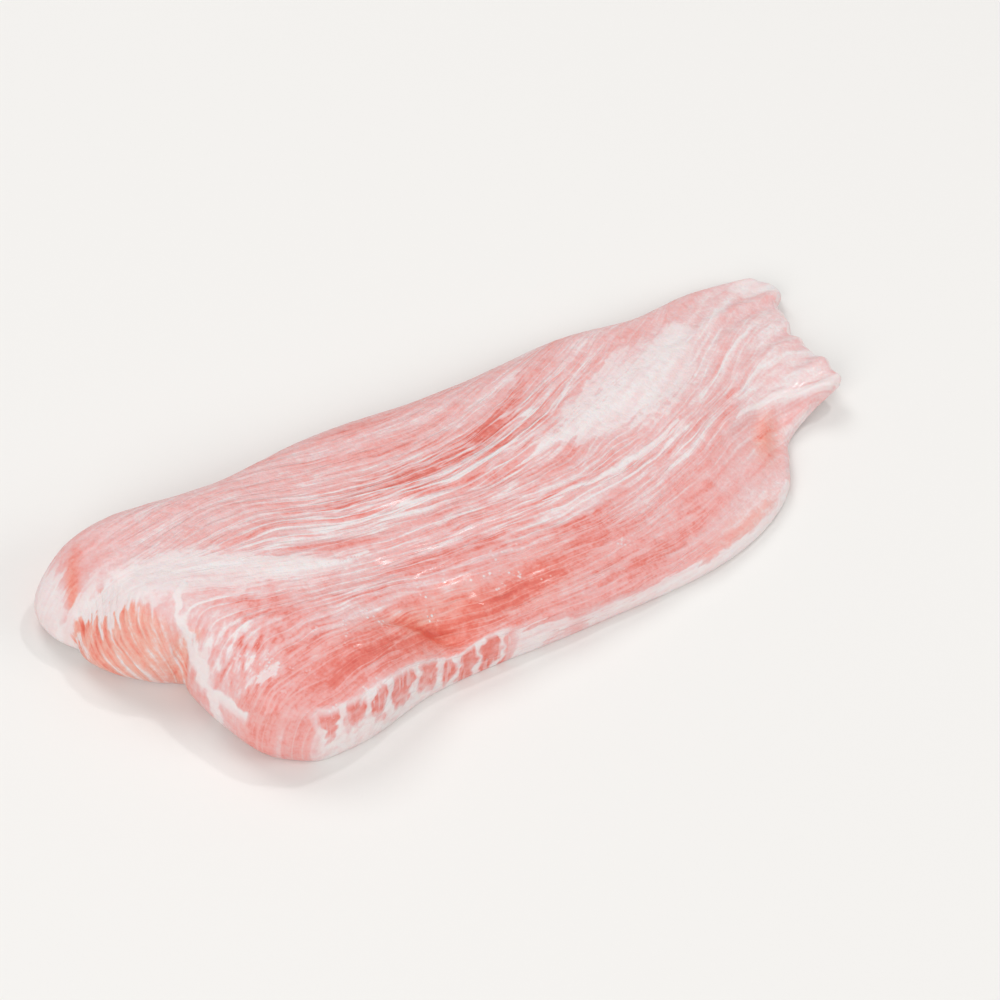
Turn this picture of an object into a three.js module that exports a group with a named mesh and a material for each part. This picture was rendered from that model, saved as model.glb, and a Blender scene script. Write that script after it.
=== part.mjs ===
// Raw pork jowl: one flat slab with a thick rolled end, a cut front side and a thin end of fanned pleats.
// Millimetres, +Z up. X runs along the grain to the thin end, Y from the cut front side to the back side.
import * as THREE from 'three';
import { mergeVertices } from 'three/addons/utils/BufferGeometryUtils.js';

// Plan outline: four edges that meet at the four corners
const FRONT_EDGE = [
  [-77, -37.5], [-62, -38.5], [-39, -35], [0, -37.5], [38, -38], [63, -30], [77, -15], [97, -10],
];
const THIN_END = [[97, -10], [98.5, 6], [102.5, 20], [107.5, 27], [102, 33]];
const BACK_EDGE = [
  [-99, 35], [-85, 38], [-58, 35.4], [-28, 38.3], [5, 36.4], [38, 38], [64, 34.8], [84, 35.6], [102, 33],
];
const ROLLED_END = [
  [-77, -37.5], [-86, -30.5], [-90, -18], [-92.5, -6], [-103, 6.5], [-108, 22], [-106, 30], [-99, 35],
];

// Heights above the rest plane along three rails, as pairs of place on X and height
const FRONT_RAIL = [[-85, 14], [-62, 16], [-39, 11.5], [-10, 8.5], [30, 4.5], [65, 4], [97, 4.5]];
const CROWN_RAIL = [[-107, 13], [-92, 20], [-70, 20], [-35, 17], [5, 15], [45, 12], [75, 9], [106, 5]];
const BACK_RAIL = [[-107, 11], [-80, 16], [-20, 13], [40, 10], [106, 4]];
const CROWN_SHARE = 0.5;

// How far the top edge of each side is drawn in, and the form of the side below it
const ROUND = { front: 3, back: 6, left: 9, right: 2.5 };
const FOOT_SHARE = 0.35;
const WAIST_HEIGHT = 0.4;
const WAIST_LEVEL = 0.4;

// Grain: its lines sag to the front in mid-length, and low ridges follow them to the pleats of the thin end
const GRAIN_SAG = 0.18;
const PEAK_SHARE = 2 / 3;
const RIDGE_WAVES = [{ count: 5, share: 0.6, start: 0.2 }, { count: 8.5, share: 0.4, start: 0.7 }];
const RIDGE_RAIL = [[-80, 0], [-50, 0.35], [40, 0.35], [92, 0.6]];
const SCALLOP = 0.7;
const SCALLOP_REACH = 12;

// Two pinches part the rolled end into three lobes, deepest at the foot
const PINCHES = [{ y: -5, depth: 3.4, half: 2 }, { y: 15, depth: 2.4, half: 2 }];
const PINCH_REACH = 10;
const PINCH_TOP = 0.45;
const PINCH_DROP = 0.5;

// Soft dents and swells of the top: place, reach along and across, height
const SWELLS = [
  { x: -37, y: -30, along: 6, across: 6, height: -3.8 },
  { x: -57, y: -25, along: 13, across: 7, height: 1.9 },
  { x: -88, y: 5, along: 12, across: 8, height: 1.2 },
  { x: 70, y: -14, along: 13, across: 5, height: -1.2 },
];

// The pointed corner of the thin end curls off the rest plane
const CURL = { x: 97, y: -10, reach: 22, height: 5 };

const GRID = { along: 60, across: 36, up: 5 };
const MEAT = { color: 0xe9b4ae, roughness: 0.4, metalness: 0 };

const { lerp, smoothstep } = THREE.MathUtils;

function curveThrough(points) {
  return new THREE.SplineCurve(points.map(([x, y]) => new THREE.Vector2(x, y)));
}

const front = curveThrough(FRONT_EDGE);
const back = curveThrough(BACK_EDGE);
const rolled = curveThrough(ROLLED_END);
const thin = curveThrough(THIN_END);
const LENGTH = front.getLength();
const WIDTH = rolled.getLength();

// Place in plan at a share of the length and a share of the width, blended between the four edges
function plan(along, across) {
  const low = front.getPointAt(along);
  const high = back.getPointAt(along);
  const left = rolled.getPointAt(across);
  const right = thin.getPointAt(across);
  const sides = left.lerp(right, along).add(low.clone().lerp(high, across));
  const nearCorners = front.getPointAt(0).lerp(front.getPointAt(1), along);
  const farCorners = back.getPointAt(0).lerp(back.getPointAt(1), along);
  return sides.sub(nearCorners.lerp(farCorners, across));
}

// Smooth height along a rail of stations
function railHeight(stations, x) {
  const last = stations.length - 1;
  if (x <= stations[0][0]) return stations[0][1];
  if (x >= stations[last][0]) return stations[last][1];
  const next = stations.findIndex(([at]) => at > x);
  const [fromX, fromHeight] = stations[next - 1];
  const [toX, toHeight] = stations[next];
  return lerp(fromHeight, toHeight, smoothstep(x, fromX, toX));
}

function bell(distance, reach) {
  return Math.exp(-((distance / reach) ** 2));
}

// Inset and climb of a side as shares, from the foot at level 0 over the waist to the top edge at level 1
function sideAt(level) {
  if (level < WAIST_LEVEL) {
    const turn = (1 - level / WAIST_LEVEL) * Math.PI / 2;
    return { inset: FOOT_SHARE * (1 - Math.cos(turn)), climb: WAIST_HEIGHT * (1 - Math.sin(turn)) };
  }
  const turn = (level - WAIST_LEVEL) / (1 - WAIST_LEVEL) * Math.PI / 2;
  return { inset: 1 - Math.cos(turn), climb: WAIST_HEIGHT + (1 - WAIST_HEIGHT) * Math.sin(turn) };
}

// Height of the smooth top: up from the front rail to the crown, then down to the back rail
function topHeight(x, across) {
  const crown = railHeight(CROWN_RAIL, x);
  if (across < CROWN_SHARE) {
    const rise = Math.sin(across / CROWN_SHARE * Math.PI / 2);
    return lerp(railHeight(FRONT_RAIL, x), crown, rise);
  }
  const fall = 1 - Math.cos((across - CROWN_SHARE) / (1 - CROWN_SHARE) * Math.PI / 2);
  return lerp(crown, railHeight(BACK_RAIL, x), fall);
}

function swellHeight(x, y) {
  const part = (swell) => swell.height * bell(x - swell.x, swell.along) * bell(y - swell.y, swell.across);
  return SWELLS.reduce((sum, swell) => sum + part(swell), 0);
}

// How deep the pinches cut at a place, fading with the distance from the rolled end
function pinchDepth(y, fromEnd) {
  const cut = PINCHES.reduce((sum, pinch) => sum + pinch.depth * bell(y - pinch.y, pinch.half), 0);
  return cut * bell(fromEnd, PINCH_REACH);
}

// Sag of the grain as a share of the width: none at the edges, most at two thirds of the width in mid-length
function grainSag(along, across) {
  const weight = (across / PEAK_SHARE) ** 2 * (1 - across) / (1 - PEAK_SHARE);
  return GRAIN_SAG * weight * Math.sin(Math.PI * along);
}

// Uneven ridges across the grain, within one unit up and down
function ridgeAt(across) {
  const wave = ({ count, share, start }) => share * Math.cos(2 * Math.PI * (count * across + start));
  return RIDGE_WAVES.reduce((sum, each) => sum + wave(each), 0);
}

// Point of the slab's skin at shares of the length and width and a level of the side
function skinPoint(lengthShare, widthShare, level) {
  const side = sideAt(level);
  const along = lerp(ROUND.left * side.inset / LENGTH, 1 - ROUND.right * side.inset / LENGTH, lengthShare);
  const across = lerp(ROUND.front * side.inset / WIDTH, 1 - ROUND.back * side.inset / WIDTH, widthShare);
  const sunk = across - grainSag(along, across);
  const at = plan(along, sunk);
  const fromTip = Math.hypot(at.x - CURL.x, at.y - CURL.y);
  const pinch = pinchDepth(at.y, along * LENGTH) * lerp(1, PINCH_TOP, side.climb);
  const ridge = ridgeAt(across);
  const scallop = SCALLOP * ridge * bell((1 - along) * LENGTH, SCALLOP_REACH);
  const top = topHeight(at.x, sunk) + swellHeight(at.x, at.y)
    + ridge * railHeight(RIDGE_RAIL, at.x) - PINCH_DROP * pinch;
  const curl = CURL.height * (1 - smoothstep(fromTip, 0, CURL.reach));
  return new THREE.Vector3(at.x + pinch + scallop, at.y, curl + side.climb * top);
}

// A grid of cells on all six sides of a unit block, moved onto the slab's skin
function slabGeometry() {
  const geometry = new THREE.BoxGeometry(1, 1, 1, GRID.along, GRID.across, GRID.up);
  geometry.translate(0.5, 0.5, 0.5);
  geometry.deleteAttribute('normal');
  geometry.deleteAttribute('uv');
  const merged = mergeVertices(geometry);
  const places = merged.getAttribute('position');
  for (let i = 0; i < places.count; i += 1) {
    const point = skinPoint(places.getX(i), places.getY(i), places.getZ(i));
    places.setXYZ(i, point.x, point.y, point.z);
  }
  return merged;
}

// The origin is under the middle of the slab's box, on the rest plane
function centred(geometry) {
  geometry.computeBoundingBox();
  const middle = geometry.boundingBox.getCenter(new THREE.Vector3());
  geometry.translate(-middle.x, -middle.y, -geometry.boundingBox.min.z);
  geometry.computeVertexNormals();
  return geometry;
}

const slab = new THREE.Mesh(centred(slabGeometry()), new THREE.MeshStandardMaterial(MEAT));
slab.name = 'jowl_slab';

const group = new THREE.Group();
group.add(slab);

export default group;
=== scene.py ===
"""Raw pork jowl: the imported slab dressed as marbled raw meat, on a pale floor in soft studio light.

Lengths in the classes are millimetres in the part's frame: +X along the grain to the thin end, +Y from the
cut front side to the back side, +Z up. They become metres where they reach a mesh, a lamp or the camera.
"""
import logging
import math
from dataclasses import dataclass
from enum import Enum
from typing import Any

import bpy
import numpy as np
from mathutils import Matrix, Vector, noise


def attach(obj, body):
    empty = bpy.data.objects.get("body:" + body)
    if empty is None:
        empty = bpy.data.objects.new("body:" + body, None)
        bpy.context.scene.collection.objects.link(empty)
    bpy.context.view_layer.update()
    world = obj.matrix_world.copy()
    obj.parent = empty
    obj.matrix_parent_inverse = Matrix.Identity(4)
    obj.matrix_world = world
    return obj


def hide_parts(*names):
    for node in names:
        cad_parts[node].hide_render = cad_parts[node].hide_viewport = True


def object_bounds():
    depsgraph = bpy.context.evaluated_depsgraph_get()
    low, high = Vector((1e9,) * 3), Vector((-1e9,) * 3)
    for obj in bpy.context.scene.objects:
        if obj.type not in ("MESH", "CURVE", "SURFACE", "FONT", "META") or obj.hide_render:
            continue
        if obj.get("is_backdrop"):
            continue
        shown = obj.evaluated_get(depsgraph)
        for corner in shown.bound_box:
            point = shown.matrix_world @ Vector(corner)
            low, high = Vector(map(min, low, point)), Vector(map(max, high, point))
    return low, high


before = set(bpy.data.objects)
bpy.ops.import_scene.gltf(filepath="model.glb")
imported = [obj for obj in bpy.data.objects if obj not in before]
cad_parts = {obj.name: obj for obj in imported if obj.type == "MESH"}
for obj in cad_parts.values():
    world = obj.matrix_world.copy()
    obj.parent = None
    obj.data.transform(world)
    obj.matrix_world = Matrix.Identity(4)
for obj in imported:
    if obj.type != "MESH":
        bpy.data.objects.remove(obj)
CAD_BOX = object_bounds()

LOG = logging.getLogger("pork_jowl")
MM = 0.001
NOISE_MIDDLE = 0.5
MIX_FACTOR = 0
MIX_FIRST = 6
MIX_SECOND = 7
MIX_RESULT = 2
FAR_FROM_FAT = -3.0
Array = np.ndarray
Colour = tuple[float, float, float, float]
Triple = tuple[float, float, float]


def srgb(red: int, green: int, blue: int) -> Colour:
    """Linear colour of a display colour.

    Args:
        red: Display red, 0 to 255.
        green: Display green, 0 to 255.
        blue: Display blue, 0 to 255.

    Returns:
        The linear colour with full alpha.
    """
    shares = (channel / 255 for channel in (red, green, blue))
    linear = [share / 12.92 if share <= 0.04045 else ((share + 0.055) / 1.055) ** 2.4 for share in shares]
    return (*linear, 1.0)


@dataclass(frozen=True)
class Ease:
    """A smooth rise from nothing at one value to one at another.

    Attributes:
        low: Value where the rise starts.
        high: Value where it ends, below the start for a fall.
    """

    low: float
    high: float

    def of(self, values: Array) -> Array:
        """Shares from 0 to 1 of the way up."""
        share = np.clip((values - self.low) / (self.high - self.low), 0, 1)
        return share * share * (3 - 2 * share)


def faded(fades: tuple[Ease, ...], values: Array) -> Array | int:
    """Product of smooth rises and falls at each value, one if there are none."""
    return math.prod(fade.of(values) for fade in fades)


@dataclass(frozen=True)
class Ripple:
    """Soft random waves over a plane: height, wave lengths along the two coordinates, and seed."""

    height: float
    length: float
    width: float
    seed: float

    def at(self, along: Array, across: Array) -> Array:
        """Height of the waves at each place, about nothing."""
        places = zip((along / self.length).tolist(), (across / self.width).tolist())
        return self.height * np.array([noise.noise((first, second, self.seed)) for first, second in places])


@dataclass(frozen=True)
class Rail:
    """A value that runs straight between stations along the slab, which are pairs of place and value."""

    stations: tuple[tuple[float, float], ...]

    def at(self, places: Array) -> Array:
        """Value at each place, level beyond the end stations."""
        return np.interp(places, *np.array(self.stations).T)


@dataclass(frozen=True)
class SoftPatch:
    """A soft oval on the skin: middle, reach along and across its length, value there, turn from +X."""

    x: float
    y: float
    along: float
    across: float
    amount: float
    turn_deg: float = 0.0

    def field(self, x: Array, y: Array) -> Array:
        """Value of the patch at each place along and across the slab."""
        turned = (x - self.x + 1j * (y - self.y)) * np.exp(-1j * math.radians(self.turn_deg))
        return self.amount * np.exp(-((turned.real / self.along) ** 2) - (turned.imag / self.across) ** 2)


def patches(*rows: tuple[float, ...]) -> tuple[SoftPatch, ...]:
    """Soft patches from rows of their fields."""
    return tuple(SoftPatch(*row) for row in rows)


def sum_of(ovals: tuple[SoftPatch, ...], x: Array, y: Array) -> Array:
    """Sum of soft patches at each place along and across the slab."""
    return sum(oval.field(x, y) for oval in ovals)


@dataclass(frozen=True)
class FatStreak:
    """A streak of fat: points of its middle with x, y and half width, and its peak, low if it is faint."""

    spine: tuple[Triple, ...]
    peak: float = 1.0

    def field(self, x: Array, y: Array) -> Array:
        """Reads the streak.

        Args:
            x: Places along the slab.
            y: Places across it.

        Returns:
            The peak on the spine, nothing at the streak's edge and less outside.
        """
        best = np.full(len(x), FAR_FROM_FAT)
        for (x0, y0, half0), (x1, y1, half1) in zip(self.spine, self.spine[1:]):
            far, wide = x1 - x0, y1 - y0
            share = np.clip(((x - x0) * far + (y - y0) * wide) / (far**2 + wide**2), 0, 1)
            apart = np.hypot(x - x0 - share * far, y - y0 - share * wide)
            best = np.maximum(best, 1 - apart / (half0 + share * (half1 - half0)))
        return np.minimum(best, self.peak)


@dataclass(frozen=True)
class Seam:
    """A line of points on the skin that places beside it are measured from."""

    spine: tuple[tuple[float, float], ...]

    def measure(self, x: Array, y: Array) -> tuple[Array, Array]:
        """Measures places from the seam.

        Args:
            x: Places along the slab.
            y: Places across it.

        Returns:
            Distances to the seam's left side, and distances from the nearest of its points.
        """
        aside, away = np.zeros(len(x)), np.full(len(x), np.inf)
        for (x0, y0), (x1, y1) in zip(self.spine, self.spine[1:]):
            length = math.hypot(x1 - x0, y1 - y0)
            ahead = ((x - x0) * (x1 - x0) + (y - y0) * (y1 - y0)) / length
            left = ((y - y0) * (x1 - x0) - (x - x0) * (y1 - y0)) / length
            apart = np.hypot(left, ahead - np.clip(ahead, 0, length))
            nearer = apart < away
            aside[nearer] = left[nearer]
            away[nearer] = apart[nearer]
        return aside, away


@dataclass(frozen=True)
class Swell:
    """Cross-section of a soft rise, or of a groove below nothing, that runs at a distance aside of a seam."""

    height: float
    half: float
    aside: float = 0.0

    def at(self, places: Array) -> Array:
        """Height at each distance to the seam's left side."""
        return self.height * np.exp(-(((places - self.aside) / self.half) ** 2))


@dataclass(frozen=True)
class Ridge:
    """A rise and a groove along a seam, which fade with the distance from it and across the slab."""

    seam: Seam
    rise: Swell
    groove: Swell
    fade: Ease
    ends: tuple[Ease, ...] = ()

    def at(self, x: Array, y: Array) -> Array:
        """Height at each place along and across the slab."""
        aside, away = self.seam.measure(x, y)
        return (self.rise.at(aside) + self.groove.at(aside)) * self.fade.of(away) * faded(self.ends, y)


@dataclass(frozen=True)
class GrainField:
    """How the meat's grain runs in plan.

    Attributes:
        rows: Place across and slopes along of each row, from the front side to the back side.
        fold: Where the top turns down the rolled end: pairs of place across and place along.
        end_slope: Slope of the grain down the rolled end.
        fold_half: Half width of the turn.
        step: Stride along X when a line is followed.
    """

    rows: tuple[tuple[float, Rail], ...]
    fold: Rail = Rail(((-34, -78), (-18, -84), (-6, -87), (6, -94), (22, -100), (32, -98)))
    end_slope: float = 0.35
    fold_half: float = 2.5
    step: float = 1.0

    def slope(self, x: Array, y: Array) -> Array:
        """Reads the slope of the grain.

        Args:
            x: Places along the slab.
            y: Places across it.

        Returns:
            The slope at each place.
        """
        top = self.rows[0][1].at(x)
        for (low_y, low), (high_y, high) in zip(self.rows, self.rows[1:]):
            top += (high.at(x) - low.at(x)) * np.clip((y - low_y) / (high_y - low_y), 0, 1)
        down = Ease(self.fold_half, -self.fold_half).of(x - self.fold.at(y))
        return top * (1 - down) + self.end_slope * down

    def lane(self, x: Array, y: Array) -> Array:
        """Where the line of grain through each place crosses the middle of the length.

        Args:
            x: Places along the slab.
            y: Places across it.

        Returns:
            The crossings' places across the slab.
        """
        at_x, at_y = x.copy(), y.copy()
        for _ in range(math.ceil(np.abs(x).max() / self.step)):
            move = -np.clip(at_x, -self.step, self.step)
            at_y += move * self.slope(at_x + move / 2, at_y)
            at_x += move
        return at_y

    def spread(self, x: Array, y: Array) -> Array:
        """How much closer the lines of grain lie at each place than in the middle of the length."""
        return np.abs(self.lane(x, y + self.step) - self.lane(x, y - self.step)) / (2 * self.step)


class Mark(Enum):
    """Vector attributes of the skin that the finish reads, three numbers for each vertex.

    GRAIN: place along the grain, its line's place across the slab, share of strands.
    ZONES: fat, above nothing inside a streak; leanness; share of white lines.
    SIDE: share of the cut side, height as a share of its edge's height, that share above the drops' foot.
    END: place along the grain, place across the end wall's streaks, share of the end wall.
    SPOTS: shares of slanting flecks, of warm tint, which is partly painted shade, and of white specks that
    paint glints.
    SEAM: share of the end's seam, distance to its left side, distance from it.
    """

    GRAIN = "grain"
    ZONES = "zones"
    SIDE = "marks"
    END = "end"
    SPOTS = "spots"
    SEAM = "seam"


class Maths(Enum):
    """Operations of a Math node that the finishes use."""

    ADD = "ADD"
    SUBTRACT = "SUBTRACT"
    MULTIPLY = "MULTIPLY"
    ABSOLUTE = "ABSOLUTE"


@dataclass(frozen=True)
class Value:
    """An output socket of a material's nodes, with Python's operators for maths on numbers."""

    sheet: "NodeSheet"
    socket: bpy.types.NodeSocket

    def __add__(self, other: Any) -> "Value":
        """Sum."""
        return self.sheet.maths(Maths.ADD, self, other)

    def __radd__(self, other: Any) -> "Value":
        """Sum with a number first."""
        return self.sheet.maths(Maths.ADD, other, self)

    def __sub__(self, other: Any) -> "Value":
        """Difference."""
        return self.sheet.maths(Maths.SUBTRACT, self, other)

    def __rsub__(self, other: Any) -> "Value":
        """Difference with a number first."""
        return self.sheet.maths(Maths.SUBTRACT, other, self)

    def __mul__(self, other: Any) -> "Value":
        """Product."""
        return self.sheet.maths(Maths.MULTIPLY, self, other)

    def __rmul__(self, other: Any) -> "Value":
        """Product with a number first."""
        return self.sheet.maths(Maths.MULTIPLY, other, self)

    def __abs__(self) -> "Value":
        """Size without sign."""
        return self.sheet.maths(Maths.ABSOLUTE, self)

    def eased(self, ease: Ease) -> "Value":
        """Share from 0 to 1 of the way up a smooth rise."""
        sockets = {"Value": self, "From Min": ease.low, "From Max": ease.high}
        return self.sheet.add("ShaderNodeMapRange", {"interpolation_type": "SMOOTHSTEP"}, sockets)


class NodeSheet:
    """The nodes of one material."""

    def __init__(self, name: str) -> None:
        """Starts a material with no nodes.

        Args:
            name: The material's name.
        """
        self.material = bpy.data.materials.new(name)
        self.material.use_nodes = True
        self.tree = self.material.node_tree
        self.tree.nodes.clear()

    def add(
        self,
        kind: str,
        settings: dict[str, Any] | None = None,
        sockets: dict[str | int, Any] | None = None,
        output: str | int = 0,
    ) -> Value:
        """Adds a node.

        Args:
            kind: The node's type.
            settings: Its settings, set before its sockets. A ramp's stops are pairs of place and colour.
            sockets: Values or links of its input sockets.
            output: The output that is wanted.

        Returns:
            That output.
        """
        node = self.tree.nodes.new(kind)
        for name, setting in (settings or {}).items():
            if name == "stops":
                self.set_stops(node.color_ramp, setting)
            else:
                setattr(node, name, setting)
        for key, given in (sockets or {}).items():
            if isinstance(given, Value):
                self.tree.links.new(given.socket, node.inputs[key])
            else:
                node.inputs[key].default_value = given
        return Value(self, node.outputs[output])

    @staticmethod
    def set_stops(ramp: bpy.types.ColorRamp, stops: tuple[tuple[float, Colour], ...]) -> None:
        """Sets a ramp's stops.

        Args:
            ramp: The ramp, which has two stops of its own.
            stops: Pairs of place and colour in rising order.
        """
        while len(ramp.elements) < len(stops):
            ramp.elements.new(1.0)
        for element, (place, colour) in zip(ramp.elements, stops):
            element.position = place
            element.color = colour

    def maths(self, operation: Maths, *values: Any) -> Value:
        """Adds a Math node on values or numbers."""
        return self.add("ShaderNodeMath", {"operation": operation.value}, dict(enumerate(values)))

    def attribute(self, mark: Mark) -> Value:
        """A mark of the skin as a vector."""
        return self.add("ShaderNodeAttribute", {"attribute_name": mark.value}, {}, "Vector")

    def parts(self, mark: Mark) -> tuple[Value, Value, Value]:
        """The three numbers of a mark of the skin."""
        vector = self.attribute(mark)
        return tuple(self.add("ShaderNodeSeparateXYZ", {}, {0: vector}, axis) for axis in range(3))

    def tinted(self, factor: Value, colour: Value, tint: Colour) -> Value:
        """Multiplies a colour by a tint, as far as a factor says."""
        sockets = {MIX_FACTOR: factor, MIX_FIRST: colour, MIX_SECOND: tint}
        return self.add("ShaderNodeMix", {"data_type": "RGBA", "blend_type": "MULTIPLY"}, sockets, MIX_RESULT)

    def noise(self, vector: Value, scale: Triple, seed: float, detail: float) -> Value:
        """Adds noise about nothing.

        Args:
            vector: Coordinates.
            scale: Waves for each unit of each coordinate.
            seed: Which of the patterns.
            detail: Octaves of finer waves.

        Returns:
            The noise, between about -0.3 and 0.3.
        """
        settings = {"operation": "MULTIPLY_ADD"}
        places = self.add("ShaderNodeVectorMath", settings, {0: vector, 1: scale, 2: (0, 0, seed)})
        sockets = {"Vector": places, "Scale": 1.0, "Detail": detail}
        return self.add("ShaderNodeTexNoise", {}, sockets) - NOISE_MIDDLE

    def finish(self, sockets: dict[str, Any]) -> bpy.types.Material:
        """Adds the Principled shader and links it to the surface.

        Args:
            sockets: Values or links of the shader's input sockets.

        Returns:
            The material.
        """
        shader = self.add("ShaderNodeBsdfPrincipled", {}, sockets)
        surface = self.tree.nodes.new("ShaderNodeOutputMaterial").inputs["Surface"]
        self.tree.links.new(shader.socket, surface)
        return self.material


@dataclass(frozen=True)
class Effect:
    """What a pattern does, as factors: to leanness, to ragged edges of fat, to leanness in fat, to relief."""

    lean: float = 0.0
    fray: float = 0.0
    in_fat: float = 0.0
    rise: float = 0.0


@dataclass(frozen=True)
class Laid:
    """A pattern laid in a material: its values, about nothing, and what it does."""

    value: Value
    effect: Effect

    @property
    def lean(self) -> Value:
        """Its part in the leanness."""
        return self.value * self.effect.lean

    @property
    def fray(self) -> Value:
        """Its part in the ragged edges of the fat."""
        return self.value * self.effect.fray

    @property
    def in_fat(self) -> Value:
        """Its part in the leanness of the fat."""
        return self.value * self.effect.in_fat

    @property
    def rise(self) -> Value:
        """Its part in the finish's relief."""
        return self.value * self.effect.rise

    def where(self, share: Value) -> "Laid":
        """The pattern as far as a share shows it."""
        return Laid(self.value * share, self.effect)


@dataclass(frozen=True)
class Streaks:
    """Long random waves along the first two numbers of a mark, which is the grain if no other is given."""

    length: float
    width: float
    seed: float
    detail: float = 2.0
    effect: Effect = Effect()
    mark: Mark = Mark.GRAIN

    def on(self, sheet: NodeSheet) -> Laid:
        """The streaks laid in a material."""
        scale = (1 / self.length, 1 / self.width, 0)
        return Laid(sheet.noise(sheet.attribute(self.mark), scale, self.seed, self.detail), self.effect)


@dataclass(frozen=True)
class WhiteLines:
    """White lines on level lines of streaks: where they fade, and what they take away from leanness."""

    streaks: Streaks
    edge: Ease
    white: float

    def on(self, sheet: NodeSheet) -> Value:
        """What the lines take away from the leanness."""
        return (1 - abs(self.streaks.on(sheet).value).eased(self.edge)) * self.white


@dataclass(frozen=True)
class Cloud:
    """Random waves all through the meat, as waves in a metre along each axis."""

    waves: Triple
    seed: float
    detail: float
    amount: float = 1.0
    effect: Effect = Effect()

    def on(self, sheet: NodeSheet, place: Value) -> Laid:
        """The waves laid in a material on coordinates in metres."""
        values = sheet.noise(place, self.waves, self.seed, self.detail)
        return Laid(values * self.amount, self.effect)


@dataclass(frozen=True)
class PaintedGlints:
    """Clusters of small white specks in the lean, which paint glints of moisture."""

    # Cells in a metre, and distances in cells from the speck in the middle where it ends and is full
    cells: float = 950.0
    size: Ease = Ease(0.45, 0.15)

    # Pattern of the clusters, where they start and are full in it, and how far the share of specks raises it
    clusters: Cloud = Cloud((210, 210, 210), 8, 2)
    edge: Ease = Ease(0.11, 0.18)
    more: float = 0.08

    def on(self, sheet: NodeSheet, place: Value, share: Value) -> Value:
        """Lays the white specks of painted glints in a material.

        Args:
            sheet: The material's nodes.
            place: Object coordinates.
            share: Share of painted glints at the place.

        Returns:
            One in the middle of a speck and nothing between the specks.
        """
        apart = sheet.add("ShaderNodeTexVoronoi", {}, {"Vector": place, "Scale": self.cells}, "Distance")
        clusters = self.clusters.on(sheet, place).value + share * self.more
        return apart.eased(self.size) * clusters.eased(self.edge) * share


@dataclass(frozen=True)
class WhiteSeam:
    """The white seam that runs round the rolled end."""

    # Half width and its change, short and long bends, softness of the edges, and distances where it ends
    half: float = 0.8
    widths: Cloud = Cloud((190, 190, 190), 43, 1, 2.6)
    wander: Cloud = Cloud((300, 300, 300), 41, 2, 2.6)
    sway: Cloud = Cloud((110, 110, 110), 45, 1, 5.0)
    edge: Ease = Ease(-0.4, 0.4)
    reach: Ease = Ease(3.5, 2.5)

    def on(self, sheet: NodeSheet, place: Value) -> Value:
        """Lays the seam in a material.

        Args:
            sheet: The material's nodes.
            place: Object coordinates.

        Returns:
            One in the seam and nothing beside it.
        """
        shown, aside, away = sheet.parts(Mark.SEAM)
        bends = self.wander.on(sheet, place).value + self.sway.on(sheet, place).value
        half = self.half + self.widths.on(sheet, place).value
        return (half - abs(aside + bends)).eased(self.edge) * away.eased(self.reach) * shown


@dataclass(frozen=True)
class LeanDrops:
    """Rounded drops of lean that hang from under the rim of the cut side into its white fat."""

    # Width of a drop with its gap, and in widths: its slant, its bends, half of the gap and the gap's change
    width: float = 6.4
    slant: float = 0.25
    bends: Cloud = Cloud((210, 210, 210), 51, 2, 1.1)
    gap: float = 0.06
    gaps: Cloud = Cloud((120, 120, 120), 53, 1, 0.3)

    # Towards its flanks a drop's foot rises and its top sinks: over which distances in widths, and how far
    foot_round: Ease = Ease(0.35, 0.02)
    foot_rise: float = 0.4
    top_round: Ease = Ease(0.3, 0.02)
    top_fall: float = 0.14

    # How much the feet differ from drop to drop, and how ragged the feet and the tops are
    uneven: float = 0.2
    foot_rough: float = 0.3
    top_rough: float = 0.1

    # How a drop fades out at its foot, at its flanks and at its top
    foot: Ease = Ease(-0.18, 0.2)
    flank: Ease = Ease(-0.08, 0.14)
    top: Ease = Ease(1.02, 0.9)

    # White hairs in the drops: their pattern, where they start and are full in it, and how white they are
    hairs: Cloud = Cloud((900, 300, 160), 57, 1)
    hair_edge: Ease = Ease(0.03, 0.16)
    hair_white: float = 0.4

    def on(self, sheet: NodeSheet, place: Value, share: Value, above: Value, rough: Value) -> Value:
        """Lays the drops in a material.

        Args:
            sheet: The material's nodes.
            place: Object coordinates.
            share: Height on the side as a share of its edge's height.
            above: That share less the share where the drops end.
            rough: Values about nothing that make the ends ragged.

        Returns:
            One in a drop and nothing in the fat.
        """
        level = share + rough * self.top_rough
        bends = self.bends.on(sheet, place).value
        along = sheet.parts(Mark.GRAIN)[0] * (1 / self.width) - level * self.slant + bends
        cells = {"W": along, "Scale": 1.0, "Randomness": 1.0}
        line = {"voronoi_dimensions": "1D"}
        side = sheet.add("ShaderNodeTexVoronoi", {**line, "feature": "DISTANCE_TO_EDGE"}, cells)
        tint = sheet.add("ShaderNodeTexVoronoi", line, cells, "Color")
        pick = sheet.add("ShaderNodeSeparateXYZ", {}, {0: tint})
        gap = self.gap + self.gaps.on(sheet, place).value
        foot = above + rough * self.foot_rough - pick * self.uneven
        hang = foot - side.eased(self.foot_round) * self.foot_rise
        top = level + side.eased(self.top_round) * self.top_fall
        drops = hang.eased(self.foot) * (side - gap).eased(self.flank) * top.eased(self.top)
        hairs = self.hairs.on(sheet, place).value.eased(self.hair_edge)
        return drops * (1 - hairs * self.hair_white)


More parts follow.
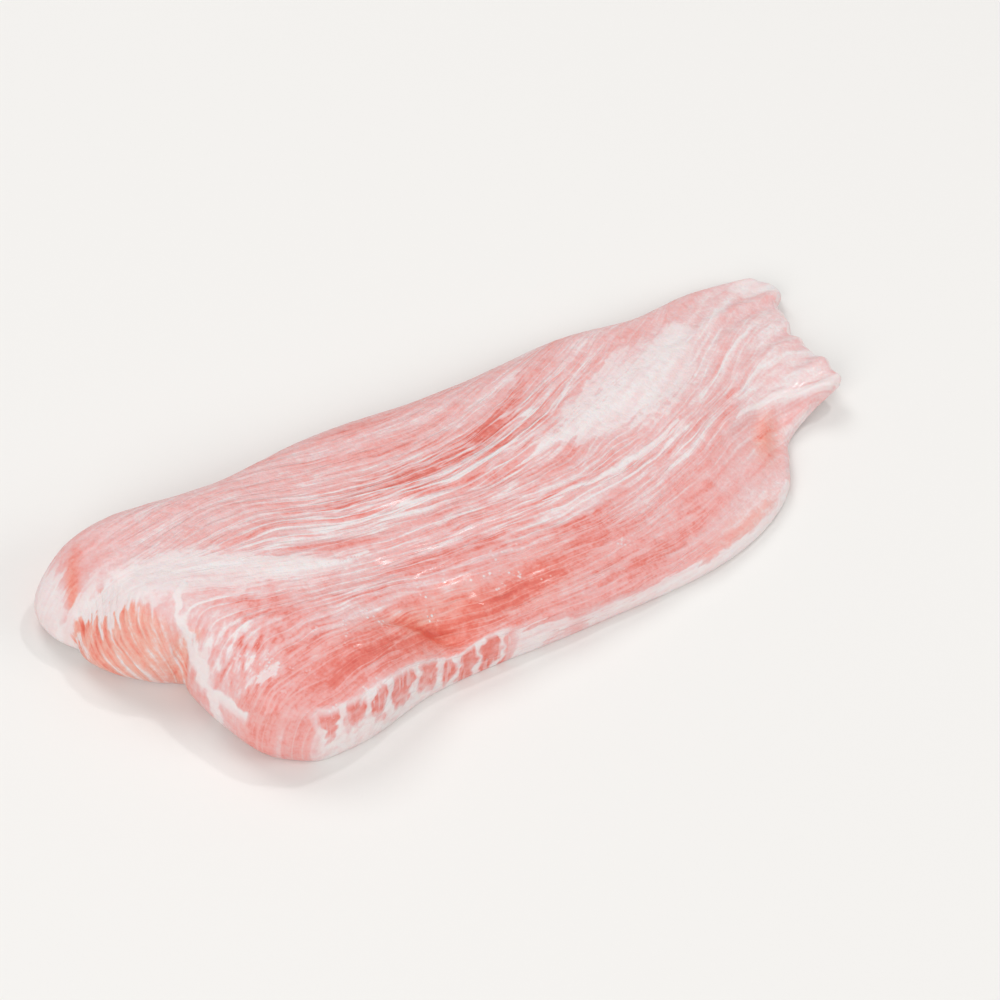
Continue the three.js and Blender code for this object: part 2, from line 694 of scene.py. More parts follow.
@dataclass(frozen=True)
class MeatFinish:
    """Raw pork: white fat and pale pink to red lean in streaks along the grain, moist."""

    # Ramp of colours from fat over marbled lean to the darkest streaks, and the place of leanness one on it
    tones: tuple[tuple[float, Colour], ...] = (
        (0.0, srgb(232, 222, 221)),
        (0.32, srgb(228, 188, 187)),
        (0.6, srgb(229, 159, 154)),
        (0.8, srgb(222, 120, 108)),
        (1.0, srgb(212, 96, 84)),
    )
    full_lean: float = 0.8

    # Tint of the end wall, which paints orange bounce light there, and of warm patches, one of which paints
    # shade in the dimple's crease; its change, and the leanness and warmth that bring it in
    warm_and_painted_shade: Colour = (1.05, 0.87, 0.72, 1.0)
    warm_waves: Cloud = Cloud((40, 40, 40), 29, 2, 0.6)
    warm_lean: Ease = Ease(0.05, 0.5)
    warm_range: Ease = Ease(0.0, 1.0)

    # Wide bands, bundles, strands and fibres of the grain, and streaks down the end wall
    broad: Streaks = Streaks(55, 8, 3, effect=Effect(lean=0.9, fray=1.0))
    middle: Streaks = Streaks(30, 2.4, 7, effect=Effect(lean=1.0, fray=1.9, in_fat=0.5, rise=0.2))
    fine: Streaks = Streaks(14, 1.2, 11, effect=Effect(lean=1.1, fray=2.0, in_fat=0.6, rise=0.5))
    fibre: Streaks = Streaks(7, 0.6, 13, effect=Effect(lean=0.75, rise=0.15))
    down: Streaks = Streaks(6.5, 2.0, 31, 3, Effect(lean=-1.8, fray=3.2, rise=1.0), Mark.END)

    # Soft spots, fine spots, and flecks that are turned off the grain by an angle in radians
    mottle: Cloud = Cloud((420, 420, 420), 5, 3, effect=Effect(lean=0.5, fray=1.4, in_fat=0.3, rise=0.6))
    grit: Cloud = Cloud((1300, 1300, 1300), 61, 1, effect=Effect(lean=0.35))
    fleck: Cloud = Cloud((220, 700, 300), 37, 2, effect=Effect(lean=-2.6, fray=2.4))
    fleck_turn: float = 0.6

    # White lines, hairlines and folds, and the share of the strands that shows away from the lines
    crest: WhiteLines = WhiteLines(Streaks(45, 3.0, 17, 1), Ease(0.015, 0.06), 0.6)
    hair: WhiteLines = WhiteLines(Streaks(30, 2.2, 23, 1), Ease(0.0, 0.06), 0.42)
    fold: WhiteLines = WhiteLines(Streaks(90, 7, 19, 1), Ease(0.0, 0.05), 0.5)
    quiet: float = 0.4

    # Fat: where it starts to show and where it is full, and its leanness
    fat_edge: Ease = Ease(-0.2, 0.45)
    fat_lean: float = 0.07

    # Cut side: its drops, their leanness, the leanness of its fat and how far soft spots show there
    drops: LeanDrops = LeanDrops()
    drop_lean: float = 0.82
    side_lean: float = 0.06
    side_mottle: float = 0.9

    # Seam round the rolled end with its leanness, and white specks that paint glints of moisture
    seam: WhiteSeam = WhiteSeam()
    seam_lean: float = 0.03
    painted_glints: PaintedGlints = PaintedGlints()

    # Relief: of bundles where strands show, how far fat evens it out, of lines, of the seam and of the
    # painted glints
    bundle_rise: float = 0.5
    fat_level: float = 0.75
    line_rise: float = 0.2
    seam_rise: float = 0.1
    painted_glint_rise: float = 0.12

    # Height of a relief of one, and how strongly the whole relief shows
    rise_height: float = 0.9
    rise_strength: float = 0.85

    # Roughness and its change in soft spots
    roughness: float = 0.55
    rough_mottle: float = 0.3

    # Moist coat: its weight, the gain at the painted glints and its roughness
    moist: float = 0.1
    moist_painted_glints: float = 0.5
    moist_rough: float = 0.12

    # Light that goes through the meat: its share, how far it reaches, and shares of that for each colour
    through: float = 0.2
    reach: float = 2.0
    reach_shares: Triple = (1.0, 0.35, 0.25)

    def material(self) -> bpy.types.Material:
        """Makes the material, which reads the marks of the slab's skin."""
        return MeatNodes(self).material()


class MeatNodes:
    """The nodes of the raw meat."""

    def __init__(self, finish: MeatFinish) -> None:
        """Lays the patterns and the layers.

        Args:
            finish: The finish with its patterns, colours and amounts.
        """
        self.finish = finish
        self.sheet = NodeSheet("raw_pork")
        self.place = self.sheet.add("ShaderNodeTexCoord", {}, {}, "Object")
        self.fat, self.lean, self.lines = self.sheet.parts(Mark.ZONES)
        # The warm tint is partly painted shade: orange bounce light on the end wall and shade in the dimple's
        # crease
        flecks, self.warm_and_painted_shade, painted_glint_share = self.sheet.parts(Mark.SPOTS)
        self.busy = self.sheet.parts(Mark.GRAIN)[2]
        self.broad = finish.broad.on(self.sheet)
        self.middle = finish.middle.on(self.sheet)
        self.fine = finish.fine.on(self.sheet).where(self.busy)
        self.fibre = finish.fibre.on(self.sheet).where(self.busy)
        self.down = finish.down.on(self.sheet).where(self.sheet.parts(Mark.END)[2])
        self.mottle = finish.mottle.on(self.sheet, self.place)
        turn = {"Vector": self.place, "Angle": -finish.fleck_turn}
        turned = self.sheet.add("ShaderNodeVectorRotate", {"rotation_type": "Z_AXIS"}, turn)
        self.fleck = finish.fleck.on(self.sheet, turned).where(flecks)
        self.lively = finish.quiet + self.lines * (1 - finish.quiet)
        self.white = self.white_lines()
        self.fat_here = self.fat_share()
        self.seam = finish.seam.on(self.sheet, self.place)
        # White specks that paint glints of moisture
        self.painted_glints = finish.painted_glints.on(self.sheet, self.place, painted_glint_share)
        self.leanness = self.layers()

    def white_lines(self) -> Value:
        """White lines along the grain.

        Returns:
            What they take away from the leanness.
        """
        crest = self.finish.crest.on(self.sheet) * self.busy
        fold = self.finish.fold.on(self.sheet) * (1 - self.busy)
        hair = self.finish.hair.on(self.sheet) * self.busy
        return self.lines * (crest + fold) + self.lively * hair

    def fat_share(self) -> Value:
        """Streaks of fat with ragged edges.

        Returns:
            One in the fat and nothing in the lean.
        """
        streaks = self.broad.fray + self.middle.fray + self.fine.fray + self.down.fray
        spots = self.mottle.fray + self.fleck.fray
        return (self.fat + streaks + spots).eased(self.finish.fat_edge)

    def layers(self) -> Value:
        """Lays the fat, the cut side, the seam and the white specks of painted glints over the streaked lean.

        Returns:
            The leanness, from nothing in pure fat to about one in pure lean.
        """
        finish = self.finish
        grit = finish.grit.on(self.sheet, self.place)
        strands = self.middle.lean + self.fine.lean + self.fibre.lean
        streaked = self.lean + self.broad.lean + self.lively * strands + self.mottle.lean + grit.lean
        lined = streaked - self.white + self.down.lean + self.fleck.lean
        in_fat = finish.fat_lean + self.fine.in_fat + self.middle.in_fat + self.mottle.in_fat
        marbled = lined * (1 - self.fat_here) + in_fat * self.fat_here
        cut, share, above = self.sheet.parts(Mark.SIDE)
        drops = finish.drops.on(self.sheet, self.place, share, above, self.mottle.value)
        on_side = finish.side_lean + drops * finish.drop_lean + self.mottle.value * finish.side_mottle
        sided = marbled * (1 - cut) + on_side * cut
        # The white specks paint glints of moisture over the rest
        return (sided * (1 - self.seam) + self.seam * finish.seam_lean) * (1 - self.painted_glints)

    def colour(self) -> Value:
        """Colour of the meat by its leanness and its warmth, which is partly painted orange bounce light and
        shade.

        Returns:
            The colour.
        """
        finish = self.finish
        level = {"Fac": self.leanness * finish.full_lean}
        plain = self.sheet.add("ShaderNodeValToRGB", {"stops": finish.tones}, level)
        painted_shade_and_warmth = self.warm_and_painted_shade + finish.warm_waves.on(self.sheet, self.place).value
        tint = (painted_shade_and_warmth * self.leanness.eased(finish.warm_lean)).eased(finish.warm_range)
        return self.sheet.tinted(tint, plain, finish.warm_and_painted_shade)

    def normal(self) -> Value:
        """Fine relief of the strands, spots, lines, seam and the painted glints' specks.

        Returns:
            The bumped normal.
        """
        finish = self.finish
        bundles = self.middle.rise + self.middle.value * self.busy * finish.bundle_rise
        strands = self.fine.rise + self.fibre.rise + bundles
        ridges = strands * (1 - self.fat_here * finish.fat_level) + self.mottle.rise + self.down.rise
        lines = self.white * finish.line_rise + self.seam * finish.seam_rise
        height = ridges + lines + self.painted_glints * finish.painted_glint_rise
        sockets = {"Strength": finish.rise_strength, "Distance": finish.rise_height * MM, "Height": height}
        return self.sheet.add("ShaderNodeBump", {}, sockets)

    def material(self) -> bpy.types.Material:
        """Puts the shader together.

        Returns:
            The material.
        """
        finish = self.finish
        return self.sheet.finish({
            "Base Color": self.colour(),
            "Roughness": finish.roughness + self.mottle.value * finish.rough_mottle,
            "Coat Weight": finish.moist + self.painted_glints * finish.moist_painted_glints,
            "Coat Roughness": finish.moist_rough,
            "Subsurface Weight": finish.through,
            "Subsurface Radius": finish.reach_shares,
            "Subsurface Scale": finish.reach * MM,
            "Normal": self.normal(),
        })


@dataclass(frozen=True)
class FloorFinish:
    """Plain matt floor."""

    colour: Colour = srgb(236, 234, 231)
    roughness: float = 0.7

    def material(self) -> bpy.types.Material:
        """Makes the material."""
        sockets = {"Base Color": self.colour, "Roughness": self.roughness}
        return NodeSheet("pale_floor").finish(sockets)


@dataclass
class Skin:
    """The slab's skin: place in millimetres and outward direction of each vertex."""

    at: Array
    facing: Array

    @classmethod
    def of(cls, mesh: bpy.types.Mesh) -> "Skin":
        """Reads a mesh.

        Args:
            mesh: The slab's mesh, in metres.

        Returns:
            Its places and directions.
        """
        count = len(mesh.vertices)
        at, facing = np.empty(3 * count), np.empty(3 * count)
        mesh.vertices.foreach_get("co", at)
        mesh.vertices.foreach_get("normal", facing)
        return cls(at.reshape(-1, 3) / MM, facing.reshape(-1, 3))


@dataclass(frozen=True)
class Region:
    """A soft-edged region of the skin: the way it faces, and how it fades off that way, along and across."""

    direction: Triple
    turn: Ease
    along: tuple[Ease, ...]
    across: tuple[Ease, ...] = ()

    def share(self, skin: Skin) -> Array:
        """One inside the region and nothing outside."""
        x, y, _ = skin.at.T
        return self.turn.of(skin.facing @ self.direction) * faded(self.along, x) * faded(self.across, y)


GRAIN = GrainField((
    (-30, Rail((
        (-85, -0.2), (-76, 0.1), (-55, 0), (-42, -0.12), (0, 0), (40, 0.25), (55, 0.5), (65, 0.55),
    ))),
    (-18, Rail((
        (-88, 0.6), (-78, 0.3), (-68, 0.1), (-55, -0.05), (-40, -0.2), (-10, -0.05), (10, 0), (40, 0.4),
        (55, 0.5),
    ))),
    (-6, Rail((
        (-88, 0.7), (-80, 0.15), (-72, -0.25), (-45, -0.12), (-12, -0.06), (20, 0.15), (55, 0.45),
        (66, 0.35), (76, 0.05), (86, -0.35), (97, -0.6),
    ))),
    (5, Rail((
        (-95, -0.3), (-75, -0.44), (-65, -0.38), (-55, -0.27), (-45, -0.2), (-18, -0.08), (10, 0.3),
        (45, 0.45), (65, 0.5), (76, 0.7), (86, 0.4), (95, 0.1), (100, -0.1),
    ))),
    (11, Rail((
        (-90, -0.2), (-76, -0.12), (-70, 0.05), (-60, 0), (-52, -0.28), (-40, -0.26), (-18, -0.02),
        (10, 0.32), (45, 0.45), (75, 0.62), (88, 0.5), (98, 0.2), (104, 0),
    ))),
    (18, Rail((
        (-85, 0.1), (-75, 0.28), (-68, 0.18), (-60, 0), (-52, -0.27), (-38, -0.32), (-10, 0.12),
        (20, 0.45), (75, 0.55), (88, 0.55), (98, 0.3), (105, 0.2),
    ))),
))

FAT_STREAKS = (
    FatStreak((
        (4, 1.5, 0.1), (11, 3, 0.6), (20, 5, 2.6), (32, 7, 7.5), (44, 9, 10.5), (54, 12, 10), (63, 17, 6.5),
        (72, 23, 3),
    )),
    FatStreak((
        (-107, 17, 2.5), (-98, 14, 7), (-89, 12.5, 8.5), (-78, 9.5, 6.2), (-66, 2, 5), (-57, -2, 3.2),
        (-47, -4.5, 1.1), (-41, -4.6, 0.6),
    )),
    FatStreak(((-86, -21.5, 0.3), (-83, -22, 1.2), (-79, -22.5, 1.4), (-76, -21.5, 0.4)), 0.15),
    FatStreak(((-83, -20, 0.1), (-80, -17, 0.8), (-77, -14, 0.2)), 0.25),
    FatStreak((
        (-25, -35, 0.6), (-17, -36.5, 1.6), (-4, -37.8, 1.1), (12, -38.2, 0.8), (38, -38, 1.4),
        (56, -34, 1.8), (66, -27, 1),
    )),
    FatStreak(((4, -9.5, 0.1), (14, -9.8, 0.5), (27, -9, 0.9), (40, -6.5, 0.9), (50, -3, 0.2))),
    FatStreak(((64, -8, 0.2), (71, -5.8, 1), (78, -5.2, 1.5), (89, -9.3, 1.3), (98, -9.5, 1.2)), 0.5),
    FatStreak(((97, 30, 3), (110, 27, 6))),
    FatStreak(((-109, 27, 6), (-114, 20, 6.5), (-119, 13.5, 5))),
    FatStreak(((-90, -10, 1.4), (-93, -13, 1.8), (-97, -18, 2.2), (-101, -23, 1.6)), 0.45),
)

END_SEAM = Seam(
    ((-83, 5.6), (-86, 3.5), (-88, 0), (-87.3, -4), (-89, -8), (-89.5, -14), (-88.7, -19), (-87.5, -23))
)
DIMPLE_CREASE = Seam(((-46, -23.8), (-40, -27), (-36, -29.5)))
TIP_FOLD = Seam(((64, -7.8), (71, -5.6), (79, -5.4), (88, -8.6)))

RIDGES = (
    Ridge(END_SEAM, Swell(0.3, 1.2), Swell(-0.6, 1.6, -2.2), Ease(5, 3), (Ease(2, -4), Ease(-22, -14))),
    Ridge(DIMPLE_CREASE, Swell(0.5, 2.2, -2.8), Swell(-0.8, 1.6), Ease(6, 2)),
    Ridge(TIP_FOLD, Swell(0.7, 2.0), Swell(-0.5, 2.0, -3.4), Ease(7, 3)),
)

# Leanness; the narrow patch at the dimple's crease (-41, -26.5) is partly painted shade in the crease, and
# the patches at (0, 14) and (12, 18) are partly painted shadow along the back
LEAN_AND_PAINTED_SHADE_PATCHES = patches(
    (-41, -26.5, 7, 1.8, 0.35, -32), (-104, 21, 11, 2.0, 0.3, 58), (-36, -15.5, 30, 4, 0.24),
    (-70, -5, 7, 9, 0.24), (5, -21, 20, 4, 0.16), (0, -3, 14, 5, 0.16), (0, 14, 22, 5, 0.2),
    (-18, -32, 12, 3, 0.2), (-91, -10, 4, 5, -0.4), (-60, -29, 24, 5.5, 0.48), (-74, -15, 10, 5, 0.22),
    (-28, -31, 10, 3, 0.16), (-18, -27, 26, 5, 0.4), (14, -29, 22, 6, 0.08), (28, -20, 14, 4, -0.14, 12),
    (18, -31, 14, 4, 0.2, 5), (56, -30, 10, 5, -0.15), (58, -14, 12, 6, -0.1, 20),
    (48, -8, 18, 7, 0.08, 25), (-81, -31, 9, 6, -0.05), (-82, -5, 8, 8, -0.3), (-14, 9, 40, 8, 0.16),
    (12, 18, 25, 6, 0.15, 22), (-28, -12, 20, 8, 0.22), (85, 10, 28, 25, -0.2),
    (69, -14.5, 9, 3, 0.26, 45), (63, -5, 12, 1.6, 0.3, 30), (-112, 2, 10, 18, -0.12),
    (90, -11, 9, 4, 0.06), (42, -22, 14, 3.5, 0.2, 25),
)

LINE_PATCHES = patches(
    (-30, 9, 42, 9, 1.0), (20, 16, 30, 7, 0.8, 22), (85, 5, 25, 20, 0.8), (5, -10, 60, 11, 0.5),
    (-78, -4, 10, 8, 0.6), (-80, -29, 8, 8, 0.1), (-56, -17, 22, 6, 0.45), (46, -8, 18, 6, 0.35, 24),
)

CALM_PATCH = SoftPatch(60, -23, 20, 10, 0.7, 22)

FLECK_PATCHES = patches((-82, -17, 6, 7, 1.0), (-88, -6, 4, 6, 0.5), (-76, -8, 10, 10, 0.35))

# Warm patches of the meat; the one at the dimple's crease (-41, -26.5) is partly painted shade in the crease
WARM_AND_PAINTED_SHADE_PATCHES = patches(
    (-104, 21, 12, 2.2, 0.9, 58), (-41, -26.5, 8, 2.5, 0.5, -32), (-102, -8, 10, 5, 0.5),
    (-90, -26, 8, 8, 0.2), (69, -14.5, 10, 4, 0.7, 45), (48, -34, 22, 4, 0.4, 12), (-30, -26, 35, 8, 0.5),
)

# Where white specks paint glints of moisture
PAINTED_GLINT_PATCHES = patches(
    (10, -26, 10, 6, 0.7), (-25, -21, 12, 5, 0.8), (-53, -21, 12, 5, 1.0), (-38, -24, 6, 5, 0.9),
    (-70, -26, 10, 8, 0.5), (-8, -24, 14, 8, 0.7), (-80, -18, 6, 7, 0.8), (-66, -37, 14, 3, 0.7),
)


@dataclass
class Meat:
    """How the meat lies, one value for each vertex of the skin.

    Attributes:
        along: Place along the grain, which runs on down the rolled end.
        lane: The grain line's place across the slab.
        lines: Share of white lines.
        flecks: Share of slanting flecks.
        wall: Share of the end wall.
        fallen: Place across the end wall's streaks.
    """

    along: Array
    lane: Array
    lines: Array
    flecks: Array
    wall: Array
    fallen: Array


@dataclass
class JowlSlab:
    """The slab of meat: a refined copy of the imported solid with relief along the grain."""

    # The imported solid's node, the body that it rides on and the record's material slot
    node: str = "jowl_slab"
    body: str = "root"
    slot: str = "raw_pork"

    # Distance within which the solid's loose corners are merged, and rounds of smooth subdivision
    merge: float = 0.01
    levels: int = 2

    # Grain, height of the top along the slab, and where the top turns down the rolled end
    grain: GrainField = GRAIN
    crown: Rail = Rail(((-107, 13), (-92, 20), (-70, 20), (-35, 17), (5, 15), (45, 12), (75, 9), (106, 5)))
    end_turn: Ease = Ease(-78, -98)

    # Where the front flank gives way to the back one, and where lines of grain run along them
    ridge_line: Ease = Ease(-5, 10)
    flank_start: Ease = Ease(-70, -50)
    back_flank: Ease = Ease(20, 28)
    flank_end: Ease = Ease(80, 50)

    # How the lines of grain waver
    lane_waves: tuple[Ripple, ...] = (Ripple(0.9, 16, 7, 1.5), Ripple(0.4, 5, 2.5, 12.5))

    # Strands: spread of the grain and place where they start to show, and parts with fewer of them
    gather: Ease = Ease(2.2, 1.4)
    strand_start: Ease = Ease(-94, -80)
    right_part: Ease = Ease(20, 60)
    right_calm: float = 0.3
    thin_part: Ease = Ease(60, 82)
    thin_calm: float = 0.55

    # Leanness where no patch changes it, how the streaks of fat waver, and the thin end's rim with its fat
    lean: float = 0.56
    fat_shifts: tuple[Ripple, Ripple] = (Ripple(0.8, 5, 5, 2.5), Ripple(0.8, 5, 5, 3.5))
    lip: Region = Region((1, 0, 0), Ease(0.05, 0.4), (Ease(80, 92),))
    lip_fat: float = 0.2

    # End wall, which is the rolled end's middle lobe, its added leanness, and how its streaks fall and waver
    wall: Region = Region((-1, 0, 0), Ease(0.3, 0.7), (Ease(-75, -88),), (Ease(19, 14), Ease(-9, -4)))
    wall_lean: float = 0.05
    fall: float = 1.1
    fall_waves: Ripple = Ripple(0.9, 4, 4, 13.5)

    # Cut side: where it is, how it fades at its rim, and where its drops end as a share of its height
    side: Region = Region((0, -1, 0), Ease(0.25, 0.5), (Ease(-79, -73), Ease(-19, -25)), (Ease(-28, -31),))
    side_rim: Ease = Ease(1.04, 0.98)
    drop_foot: Rail = Rail(((-80, 0.45), (-60, 0.4), (-45, 0.25), (-36, -0.1), (-15, -0.4)))

    # Its top edge: how far the skin still faces the front, what it lies in front of, and its least height
    edge_facing: float = 0.55
    edge_line: float = -30.0
    edge_least: float = 1.0

    # Heights where the end's seam starts and where it is full
    seam_height: Ease = Ease(8, 11)

    # Relief of white lines, finer strands, dents, the thin end's pleats, the end wall's streaks and flecks
    strands: Ripple = Ripple(0.22, 40, 2.4, 6.5)
    threads: Ripple = Ripple(0.08, 12, 1.6, 9.5)
    dents: Ripple = Ripple(0.3, 13, 9, 8.5)
    pleats: Ripple = Ripple(0.45, 60, 4, 7.5)
    pleat_start: Ease = Ease(45, 75)
    wall_strands: Ripple = Ripple(0.35, 9, 2.5, 10.5)
    fleck_bumps: Ripple = Ripple(0.25, 3, 3, 11.5)

    # How the relief fades near the rest plane and where the skin turns down
    foot_fade: Ease = Ease(0.4, 2.5)
    under_fade: Ease = Ease(-0.5, 0)

    def build(self, finish: MeatFinish) -> bpy.types.Object:
        """Builds the slab.

        Args:
            finish: Its finish.

        Returns:
            The finished piece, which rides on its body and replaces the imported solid.
        """
        piece = self.copy_of_solid()
        self.refine(piece)
        self.shape(piece.data)
        piece.data.materials.clear()
        piece.data.materials.append(finish.material())
        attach(piece, self.body)
        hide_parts(self.node)
        return piece

    def copy_of_solid(self) -> bpy.types.Object:
        """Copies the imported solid.

        Returns:
            An object with a copy of its mesh, alone selected and active.
        """
        piece = bpy.data.objects.new("marbled_slab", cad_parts[self.node].data.copy())
        bpy.context.collection.objects.link(piece)
        bpy.ops.object.select_all(action="DESELECT")
        piece.select_set(True)
        bpy.context.view_layer.objects.active = piece
        return piece

    def refine(self, piece: bpy.types.Object) -> None:
        """Merges the mesh's loose triangles, joins them to quads and subdivides these smoothly.

        Args:
            piece: The piece, selected and active.
        """
        bpy.ops.object.mode_set(mode="EDIT")
        bpy.ops.mesh.select_all(action="SELECT")
        bpy.ops.mesh.remove_doubles(threshold=self.merge * MM)
        bpy.ops.mesh.tris_convert_to_quads()
        bpy.ops.object.mode_set(mode="OBJECT")
        smooth = piece.modifiers.new("smooth", "SUBSURF")
        smooth.levels = self.levels
        smooth.render_levels = self.levels
        bpy.ops.object.modifier_apply(modifier=smooth.name)
        bpy.ops.object.shade_smooth()

    def shape(self, mesh: bpy.types.Mesh) -> None:
        """Raises the relief on the skin and marks the skin for the finish.

        Args:
            mesh: The refined mesh.
        """
        skin = Skin.of(mesh)
        meat = self.meat(skin)
        places = skin.at + self.relief(skin, meat)[:, None] * skin.facing
        mesh.vertices.foreach_set("co", (places * MM).ravel())
        mesh.update()
        self.mark_streaks(mesh, skin, meat)
        self.mark_details(mesh, skin, meat)

    def meat(self, skin: Skin) -> Meat:
        """Works out how the meat lies.

        Args:
            skin: The refined skin.

        Returns:
            How it lies at each vertex.
        """
        x, y, z = skin.at.T
        below = self.crown.at(x) - z
        along = x - below * self.end_turn.of(x)
        outward = below * (2 * self.ridge_line.of(y) - 1)
        flanks = np.maximum(self.flank_start.of(x), self.back_flank.of(y)) * self.flank_end.of(x)
        lane = self.grain.lane(x, y) + outward * flanks
        lane += sum(ripple.at(along, lane) for ripple in self.lane_waves)
        lines = np.minimum(sum_of(LINE_PATCHES, along, y), 1)
        flecks = sum_of(FLECK_PATCHES, x, y)
        fallen = y - self.fall * along + self.fall_waves.at(along, y)
        return Meat(along, lane, lines, flecks, self.wall.share(skin), fallen)

    def relief(self, skin: Skin, meat: Meat) -> Array:
        """Works out the relief.

        Args:
            skin: The refined skin.
            meat: How the meat lies.

        Returns:
            Height of the relief at each vertex.
        """
        x, y, z = skin.at.T
        relief = meat.lines * self.strands.at(meat.along, meat.lane)
        relief += self.dents.at(x, y) + self.threads.at(meat.along, meat.lane)
        relief += self.pleat_start.of(x) * self.pleats.at(meat.along, meat.lane)
        relief += meat.wall * self.wall_strands.at(meat.along, meat.fallen)
        relief += meat.flecks * self.fleck_bumps.at(x, y)
        relief += sum(ridge.at(x, y) for ridge in RIDGES)
        return relief * self.foot_fade.of(z) * self.under_fade.of(skin.facing[:, 2])

    def mark_streaks(self, mesh: bpy.types.Mesh, skin: Skin, meat: Meat) -> None:
        """Marks the skin with the grain, the fat and the lean.

        Args:
            mesh: The refined mesh.
            skin: Its skin before the relief.
            meat: How the meat lies.
        """
        x, y, _ = skin.at.T
        busy = self.gather.of(self.grain.spread(x, y)) * self.strand_start.of(x)
        busy *= (1 - self.right_calm * self.right_part.of(x)) * (1 - self.thin_calm * self.thin_part.of(x))
        busy *= 1 - CALM_PATCH.field(x, y)
        shifted = (meat.along + self.fat_shifts[0].at(x, y), y + self.fat_shifts[1].at(x, y))
        streaks = np.max([streak.field(*shifted) for streak in FAT_STREAKS], axis=0)
        lip = FAR_FROM_FAT + (self.lip_fat - FAR_FROM_FAT) * self.lip.share(skin)
        # Leanness, with painted shade at the dimple's crease and painted shadow along the back
        lean = self.lean + sum_of(LEAN_AND_PAINTED_SHADE_PATCHES, meat.along, y) + self.wall_lean * meat.wall
        self.mark(mesh, Mark.GRAIN, meat.along, meat.lane, busy)
        self.mark(mesh, Mark.ZONES, np.maximum(streaks, lip), lean, meat.lines)

    def mark_details(self, mesh: bpy.types.Mesh, skin: Skin, meat: Meat) -> None:
        """Marks the skin with the cut side, the end wall, the spots and the end's seam.

        Args:
            mesh: The refined mesh.
            skin: Its skin before the relief.
            meat: How the meat lies.
        """
        x, y, z = skin.at.T
        share = z / self.edge_height(skin)
        cut = self.side.share(skin) * self.side_rim.of(share)
        # Warm tint; the end wall's share paints orange bounce light on the wall, and a patch paints shade in
        # the dimple's crease
        warm_and_painted_shade = np.clip(sum_of(WARM_AND_PAINTED_SHADE_PATCHES, meat.along, y) + meat.wall, 0, 1)
        # Share of white specks that paint glints of moisture
        painted_glint_share = np.minimum(sum_of(PAINTED_GLINT_PATCHES, x, y), 1)
        self.mark(mesh, Mark.SIDE, cut, share, share - self.drop_foot.at(x))
        self.mark(mesh, Mark.END, meat.along, meat.fallen, meat.wall)
        self.mark(mesh, Mark.SPOTS, meat.flecks, warm_and_painted_shade, painted_glint_share)
        self.mark(mesh, Mark.SEAM, self.seam_height.of(z), *END_SEAM.measure(x, y))

    def edge_height(self, skin: Skin) -> Array:
        """Height of the front side's top edge beside each place, read off in steps of a millimetre.

        Args:
            skin: The refined skin.

        Returns:
            The heights.
        """
        x, y, z = skin.at.T
        steep = (-skin.facing[:, 1] > self.edge_facing) & (y < self.edge_line)
        steps = np.round(x[steep]).astype(int)
        first = steps.min()
        highest = np.zeros(steps.max() - first + 1)
        np.maximum.at(highest, steps - first, z[steep])
        return np.interp(x, np.arange(len(highest)) + first, np.maximum(highest, self.edge_least))

    @staticmethod
    def mark(mesh: bpy.types.Mesh, mark: Mark, *numbers: Array) -> None:
        """Gives a mesh a mark of three numbers for each vertex."""
        attribute = mesh.attributes.new(mark.value, "FLOAT_VECTOR", "POINT")
        attribute.data.foreach_set("vector", np.column_stack(numbers).astype(np.float32).ravel())


@dataclass
class StudioFloor:
    """A wide plain floor, a small gap below the slab's flat face."""

    side: float = 6000.0
    gap: float = 0.1

    def build(self, finish: FloorFinish) -> bpy.types.Object:
        """Lays the floor.

        Args:
            finish: Its finish.

        Returns:
            The floor, which isn't part of the object.
        """
        bpy.ops.object.select_all(action="DESELECT")
        bpy.ops.mesh.primitive_plane_add(size=self.side * MM, location=(0, 0, -self.gap * MM))
        bpy.ops.object.transform_apply(location=True, rotation=False, scale=False)
        floor = bpy.context.object
        floor.name = "studio_floor"
        floor.data.materials.append(finish.material())
        floor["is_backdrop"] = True
        return floor


@dataclass(frozen=True)
class Lamp:
    """A square soft lamp that points at the slab."""

    name: str
    place: Triple
    side: float
    watts: float

    def build(self) -> bpy.types.Object:
        """Hangs the lamp.

        Returns:
            The lamp.
        """
        bpy.ops.object.light_add(type="AREA", location=Vector(self.place) * MM)
        lamp = bpy.context.object
        lamp.name = self.name
        lamp.rotation_euler = (-lamp.location).to_track_quat("-Z", "Y").to_euler()
        lamp.data.size = self.side * MM
        lamp.data.energy = self.watts
        return lamp


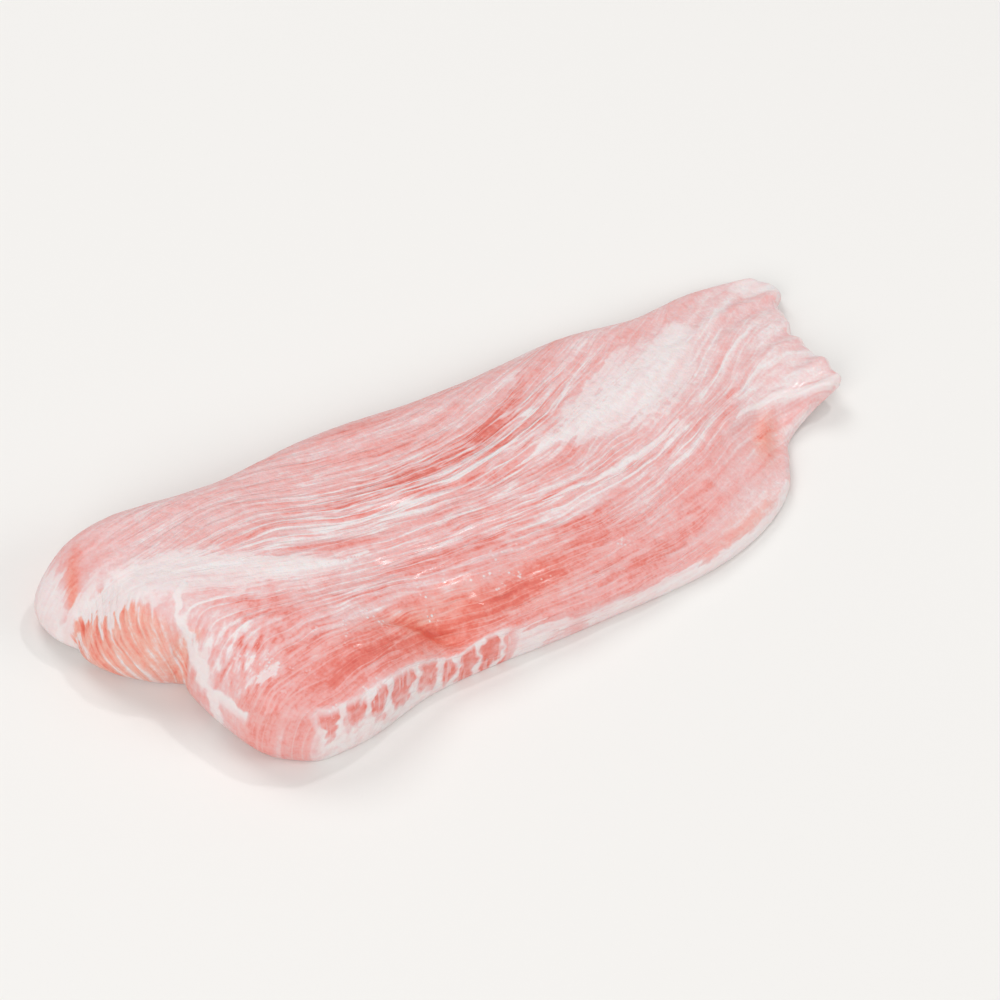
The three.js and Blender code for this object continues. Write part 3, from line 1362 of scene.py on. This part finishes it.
@dataclass
class StudioLight:
    """Bright soft light: a key behind, a fill on the left, two lamps on the right, white light all round."""

    lamps: tuple[Lamp, ...] = (
        Lamp("key_lamp", (0, 700, 900), 500, 3.6),
        Lamp("fill_lamp", (-900, -480, 640), 700, 6.6),
        Lamp("side_lamp", (600, -650, 520), 500, 2.6),
        Lamp("spark_lamp", (470, 180, 860), 60, 1.3),
    )
    sky_colour: Colour = (1.0, 1.0, 1.0, 1.0)
    sky: float = 0.42

    def build(self) -> None:
        """Hangs the lamps, lights the world and shows colours as they are lit."""
        for lamp in self.lamps:
            lamp.build()
        world = bpy.data.worlds.new("pale_world")
        world.use_nodes = True
        background = world.node_tree.nodes["Background"]
        background.inputs["Color"].default_value = self.sky_colour
        background.inputs["Strength"].default_value = self.sky
        bpy.context.scene.world = world
        bpy.context.scene.view_settings.view_transform = "Standard"


@dataclass
class PhotoCamera:
    """The camera at the photograph's viewing angle: turned off the front side, raised and rolled left."""

    target: Triple = (0.0, 0.0, 8.0)
    azimuth_deg: float = -43.2
    elevation_deg: float = 46.4
    distance: float = 728.7
    roll_deg: float = 9.5
    lens: float = 114.0
    sensor: float = 36.0

    def build(self) -> bpy.types.Object:
        """Places the camera and makes it the scene's.

        Returns:
            The camera.
        """
        azimuth, elevation = math.radians(self.azimuth_deg), math.radians(self.elevation_deg)
        level = math.cos(elevation)
        away = Vector((math.sin(azimuth) * level, -math.cos(azimuth) * level, math.sin(elevation)))
        aim = away.to_track_quat("Z", "Y").to_matrix().to_4x4()
        data = bpy.data.cameras.new("photo_camera")
        data.lens = self.lens
        data.sensor_width = self.sensor
        camera = bpy.data.objects.new("photo_camera", data)
        bpy.context.collection.objects.link(camera)
        place = Matrix.Translation((Vector(self.target) + away * self.distance) * MM)
        camera.matrix_world = place @ aim @ Matrix.Rotation(math.radians(self.roll_deg), 4, "Z")
        bpy.context.scene.camera = camera
        return camera


def write_sizes() -> None:
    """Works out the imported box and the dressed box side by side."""
    boxes = {"cad": CAD_BOX, "visual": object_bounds()}
    plain = {name: [[float(length) for length in corner] for corner in box] for name, box in boxes.items()}


def main() -> None:
    """Builds the slab, the floor, the light and the camera."""
    logging.basicConfig(level=logging.INFO, format="%(name)s: %(message)s")
    slab = JowlSlab().build(MeatFinish())
    LOG.info("%s: %d faces", slab.name, len(slab.data.polygons))
    floor = StudioFloor().build(FloorFinish())
    LOG.info("%s laid", floor.name)
    StudioLight().build()
    camera = PhotoCamera().build()
    LOG.info("%s with a lens of %.0f mm", camera.name, camera.data.lens)
    write_sizes()


if __name__ == "__main__":
    main()
